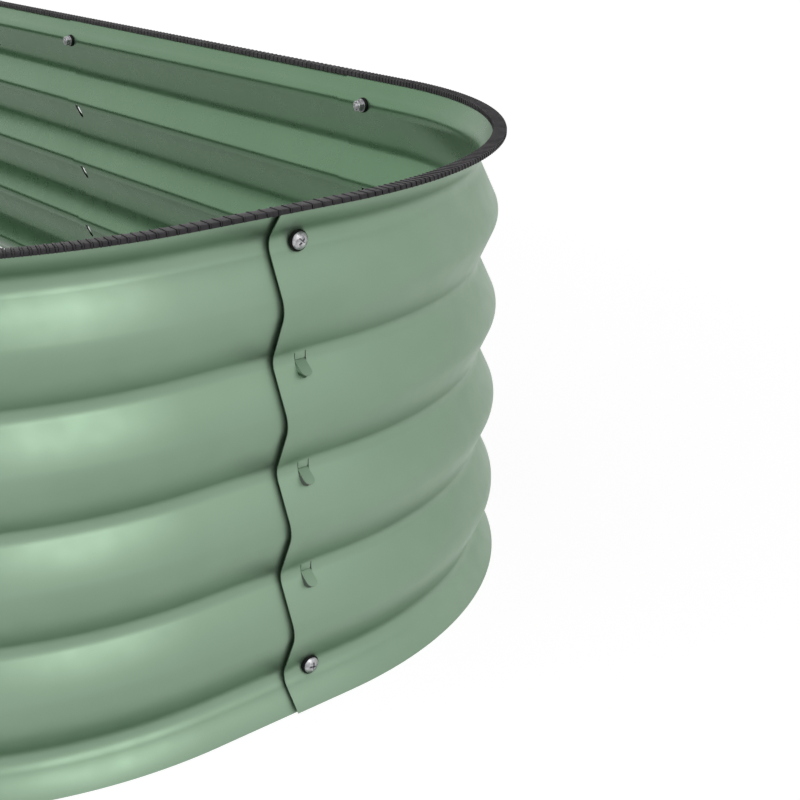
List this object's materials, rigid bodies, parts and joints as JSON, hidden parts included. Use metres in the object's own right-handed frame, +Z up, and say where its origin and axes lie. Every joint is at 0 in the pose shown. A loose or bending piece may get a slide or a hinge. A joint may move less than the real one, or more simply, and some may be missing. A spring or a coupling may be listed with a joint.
{
  "type": "raised garden bed",
  "caption": "Long raised garden bed with rounded ends: a bottomless ring of lapped, hooked and bolted corrugated painted steel panels with a rubber trim on the rim.",
  "frame": {"origin": "middle of the footprint, on the ground", "axes": "+X along the bed, +Y across it to the back side, +Z up; the end seam of the right end lies on its +Y half, and the bed is the same after half a turn about Z"},
  "size_m": [2.0672, 0.6302, 0.3015],
  "materials": {
    "painted_sheet": "sage green powder coat, satin",
    "edge_rubber": "near black rubber with cross grooves, satin",
    "zinc_steel": "bright zinc plate",
    "washer_rubber": "black rubber, matt"
  },
  "bodies": {
    "root": {"corner_panel_right_back": "painted_sheet", "side_panel_back_right": "painted_sheet", "side_panel_back_middle": "painted_sheet", "side_panel_back_left": "painted_sheet", "corner_panel_left_back": "painted_sheet", "corner_panel_left_front": "painted_sheet", "side_panel_front_left": "painted_sheet", "side_panel_front_middle": "painted_sheet", "side_panel_front_right": "painted_sheet", "corner_panel_right_front": "painted_sheet", "edge_trim_right": "edge_rubber", "edge_trim_left": "edge_rubber", "bolts_end_seams": "zinc_steel", "bolts_back_seams": "zinc_steel", "bolts_front_seams": "zinc_steel", "outer_rubbers_end_seams": "washer_rubber", "outer_rubbers_back_seams": "washer_rubber", "outer_rubbers_front_seams": "washer_rubber", "inner_rubbers_end_seams": "washer_rubber", "inner_rubbers_back_seams": "washer_rubber", "inner_rubbers_front_seams": "washer_rubber", "steel_washers_end_seams": "zinc_steel", "steel_washers_back_seams": "zinc_steel", "steel_washers_front_seams": "zinc_steel", "nuts_end_seams": "zinc_steel", "nuts_back_seams": "zinc_steel", "nuts_front_seams": "zinc_steel"}
  },
  "joints": []
}
